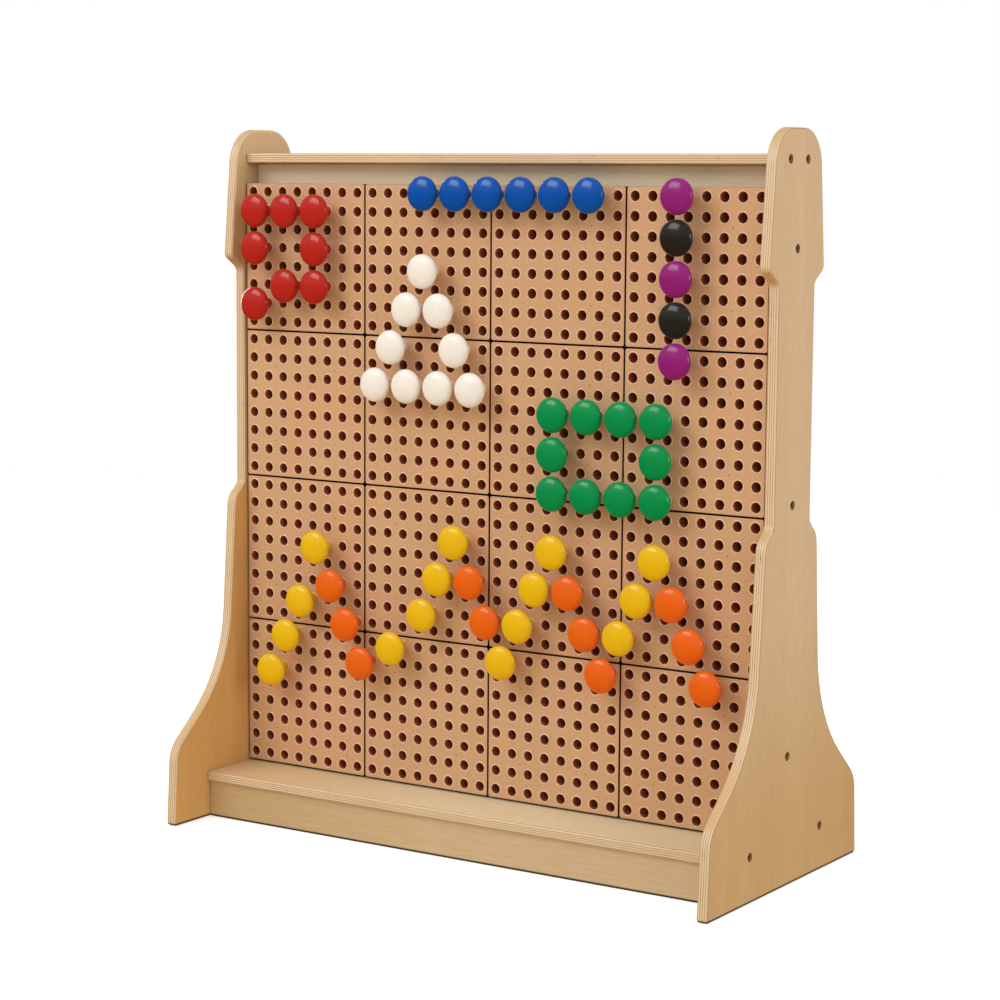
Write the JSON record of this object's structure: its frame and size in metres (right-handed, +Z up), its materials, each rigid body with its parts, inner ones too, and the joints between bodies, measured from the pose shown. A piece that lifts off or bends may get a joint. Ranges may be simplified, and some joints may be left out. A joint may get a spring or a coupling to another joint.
{
  "type": "two-sided pegboard play stand",
  "caption": "Floor-standing plywood pegboard: wavy side panels hold a board of square tan hole tiles, with mushroom pegs pushed in and a low shelf in front and behind.",
  "frame": {"origin": "on the floor, at the middle of the footprint", "axes": "+Z up; +X along the board, to the right for someone facing the front; -Y out of the front board, where the pegs are"},
  "size_m": [0.9554, 0.4662, 1.0765],
  "materials": {
    "birch_ply": "satin clear varnish over birch plywood, layers showing on the edges",
    "tile_plastic": "fine pebbled moulded plastic, tan",
    "bolt_steel": "zinc plated",
    "red_peg": "polished moulded plastic",
    "blue_peg": "polished moulded plastic",
    "white_peg": "polished moulded plastic",
    "purple_peg": "polished moulded plastic",
    "black_peg": "polished moulded plastic",
    "green_peg": "polished moulded plastic",
    "yellow_peg": "polished moulded plastic",
    "orange_peg": "polished moulded plastic"
  },
  "bodies": {
    "root": {"left_side_panel": "birch_ply", "right_side_panel": "birch_ply", "top_cap": "birch_ply", "core_panel": "birch_ply", "bottom_shelf": "birch_ply", "front_plinth": "birch_ply", "rear_plinth": "birch_ply", "tile_r1_c1": "tile_plastic", "tile_r1_c2": "tile_plastic", "tile_r1_c3": "tile_plastic", "tile_r1_c4": "tile_plastic", "tile_r2_c1": "tile_plastic", "tile_r2_c2": "tile_plastic", "tile_r2_c3": "tile_plastic", "tile_r2_c4": "tile_plastic", "tile_r3_c1": "tile_plastic", "tile_r3_c2": "tile_plastic", "tile_r3_c3": "tile_plastic", "tile_r3_c4": "tile_plastic", "tile_r4_c1": "tile_plastic", "tile_r4_c2": "tile_plastic", "tile_r4_c3": "tile_plastic", "tile_r4_c4": "tile_plastic", "rear_board": "tile_plastic"},
    "peg_red_1": {"peg_red_1": "red_peg"},
    "peg_red_2": {"peg_red_2": "red_peg"},
    "peg_red_3": {"peg_red_3": "red_peg"},
    "peg_red_4": {"peg_red_4": "red_peg"},
    "peg_red_5": {"peg_red_5": "red_peg"},
    "peg_red_6": {"peg_red_6": "red_peg"},
    "peg_red_7": {"peg_red_7": "red_peg"},
    "peg_red_8": {"peg_red_8": "red_peg"},
    "peg_blue_1": {"peg_blue_1": "blue_peg"},
    "peg_blue_2": {"peg_blue_2": "blue_peg"},
    "peg_blue_3": {"peg_blue_3": "blue_peg"},
    "peg_blue_4": {"peg_blue_4": "blue_peg"},
    "peg_blue_5": {"peg_blue_5": "blue_peg"},
    "peg_blue_6": {"peg_blue_6": "blue_peg"},
    "peg_white_1": {"peg_white_1": "white_peg"},
    "peg_white_2": {"peg_white_2": "white_peg"},
    "peg_white_3": {"peg_white_3": "white_peg"},
    "peg_purple_1": {"peg_purple_1": "purple_peg"},
    "peg_black_1": {"peg_black_1": "black_peg"},
    "peg_purple_2": {"peg_purple_2": "purple_peg"},
    "peg_black_2": {"peg_black_2": "black_peg"},
    "peg_purple_3": {"peg_purple_3": "purple_peg"},
    "peg_green_1": {"peg_green_1": "green_peg"},
    "peg_green_2": {"peg_green_2": "green_peg"},
    "peg_green_3": {"peg_green_3": "green_peg"},
    "peg_green_4": {"peg_green_4": "green_peg"},
    "peg_green_5": {"peg_green_5": "green_peg"},
    "peg_green_6": {"peg_green_6": "green_peg"},
    "peg_green_7": {"peg_green_7": "green_peg"},
    "peg_green_8": {"peg_green_8": "green_peg"},
    "peg_green_9": {"peg_green_9": "green_peg"},
    "peg_green_10": {"peg_green_10": "green_peg"},
    "peg_yellow_1": {"peg_yellow_1": "yellow_peg"},
    "peg_yellow_2": {"peg_yellow_2": "yellow_peg"},
    "peg_orange_1": {"peg_orange_1": "orange_peg"},
    "peg_orange_2": {"peg_orange_2": "orange_peg"}
  },
  "joints": [
    {"name": "peg_red_1_pull", "type": "slide", "parent": "root", "child": "peg_red_1", "axis": [0, -1, 0], "range_m": [0, 0.0235]},
    {"name": "peg_red_2_pull", "type": "slide", "parent": "root", "child": "peg_red_2", "axis": [0, -1, 0], "range_m": [0, 0.0235]},
    {"name": "peg_red_3_pull", "type": "slide", "parent": "root", "child": "peg_red_3", "axis": [0, -1, 0], "range_m": [0, 0.0235]},
    {"name": "peg_red_4_pull", "type": "slide", "parent": "root", "child": "peg_red_4", "axis": [0, -1, 0], "range_m": [0, 0.0235]},
    {"name": "peg_red_5_pull", "type": "slide", "parent": "root", "child": "peg_red_5", "axis": [0, -1, 0], "range_m": [0, 0.0235]},
    {"name": "peg_red_6_pull", "type": "slide", "parent": "root", "child": "peg_red_6", "axis": [0, -1, 0], "range_m": [0, 0.0235]},
    {"name": "peg_red_7_pull", "type": "slide", "parent": "root", "child": "peg_red_7", "axis": [0, -1, 0], "range_m": [0, 0.0235]},
    {"name": "peg_red_8_pull", "type": "slide", "parent": "root", "child": "peg_red_8", "axis": [0, -1, 0], "range_m": [0, 0.0235]},
    {"name": "peg_blue_1_pull", "type": "slide", "parent": "root", "child": "peg_blue_1", "axis": [0, -1, 0], "range_m": [0, 0.0235]},
    {"name": "peg_blue_2_pull", "type": "slide", "parent": "root", "child": "peg_blue_2", "axis": [0, -1, 0], "range_m": [0, 0.0235]},
    {"name": "peg_blue_3_pull", "type": "slide", "parent": "root", "child": "peg_blue_3", "axis": [0, -1, 0], "range_m": [0, 0.0235]},
    {"name": "peg_blue_4_pull", "type": "slide", "parent": "root", "child": "peg_blue_4", "axis": [0, -1, 0], "range_m": [0, 0.0235]},
    {"name": "peg_blue_5_pull", "type": "slide", "parent": "root", "child": "peg_blue_5", "axis": [0, -1, 0], "range_m": [0, 0.0235]},
    {"name": "peg_blue_6_pull", "type": "slide", "parent": "root", "child": "peg_blue_6", "axis": [0, -1, 0], "range_m": [0, 0.0235]},
    {"name": "peg_white_1_pull", "type": "slide", "parent": "root", "child": "peg_white_1", "axis": [0, -1, 0], "range_m": [0, 0.0235]},
    {"name": "peg_white_2_pull", "type": "slide", "parent": "root", "child": "peg_white_2", "axis": [0, -1, 0], "range_m": [0, 0.0235]},
    {"name": "peg_white_3_pull", "type": "slide", "parent": "root", "child": "peg_white_3", "axis": [0, -1, 0], "range_m": [0, 0.0235]},
    {"name": "peg_purple_1_pull", "type": "slide", "parent": "root", "child": "peg_purple_1", "axis": [0, -1, 0], "range_m": [0, 0.0235]},
    {"name": "peg_black_1_pull", "type": "slide", "parent": "root", "child": "peg_black_1", "axis": [0, -1, 0], "range_m": [0, 0.0235]},
    {"name": "peg_purple_2_pull", "type": "slide", "parent": "root", "child": "peg_purple_2", "axis": [0, -1, 0], "range_m": [0, 0.0235]},
    {"name": "peg_black_2_pull", "type": "slide", "parent": "root", "child": "peg_black_2", "axis": [0, -1, 0], "range_m": [0, 0.0235]},
    {"name": "peg_purple_3_pull", "type": "slide", "parent": "root", "child": "peg_purple_3", "axis": [0, -1, 0], "range_m": [0, 0.0235]},
    {"name": "peg_green_1_pull", "type": "slide", "parent": "root", "child": "peg_green_1", "axis": [0, -1, 0], "range_m": [0, 0.0235]},
    {"name": "peg_green_2_pull", "type": "slide", "parent": "root", "child": "peg_green_2", "axis": [0, -1, 0], "range_m": [0, 0.0235]},
    {"name": "peg_green_3_pull", "type": "slide", "parent": "root", "child": "peg_green_3", "axis": [0, -1, 0], "range_m": [0, 0.0235]},
    {"name": "peg_green_4_pull", "type": "slide", "parent": "root", "child": "peg_green_4", "axis": [0, -1, 0], "range_m": [0, 0.0235]},
    {"name": "peg_green_5_pull", "type": "slide", "parent": "root", "child": "peg_green_5", "axis": [0, -1, 0], "range_m": [0, 0.0235]},
    {"name": "peg_green_6_pull", "type": "slide", "parent": "root", "child": "peg_green_6", "axis": [0, -1, 0], "range_m": [0, 0.0235]},
    {"name": "peg_green_7_pull", "type": "slide", "parent": "root", "child": "peg_green_7", "axis": [0, -1, 0], "range_m": [0, 0.0235]},
    {"name": "peg_green_8_pull", "type": "slide", "parent": "root", "child": "peg_green_8", "axis": [0, -1, 0], "range_m": [0, 0.0235]},
    {"name": "peg_green_9_pull", "type": "slide", "parent": "root", "child": "peg_green_9", "axis": [0, -1, 0], "range_m": [0, 0.0235]},
    {"name": "peg_green_10_pull", "type": "slide", "parent": "root", "child": "peg_green_10", "axis": [0, -1, 0], "range_m": [0, 0.0235]},
    {"name": "peg_yellow_1_pull", "type": "slide", "parent": "root", "child": "peg_yellow_1", "axis": [0, -1, 0], "range_m": [0, 0.0235]},
    {"name": "peg_yellow_2_pull", "type": "slide", "parent": "root", "child": "peg_yellow_2", "axis": [0, -1, 0], "range_m": [0, 0.0235]},
    {"name": "peg_orange_1_pull", "type": "slide", "parent": "root", "child": "peg_orange_1", "axis": [0, -1, 0], "range_m": [0, 0.0235]},
    {"name": "peg_orange_2_pull", "type": "slide", "parent": "root", "child": "peg_orange_2", "axis": [0, -1, 0], "range_m": [0, 0.0235]}
  ]
}
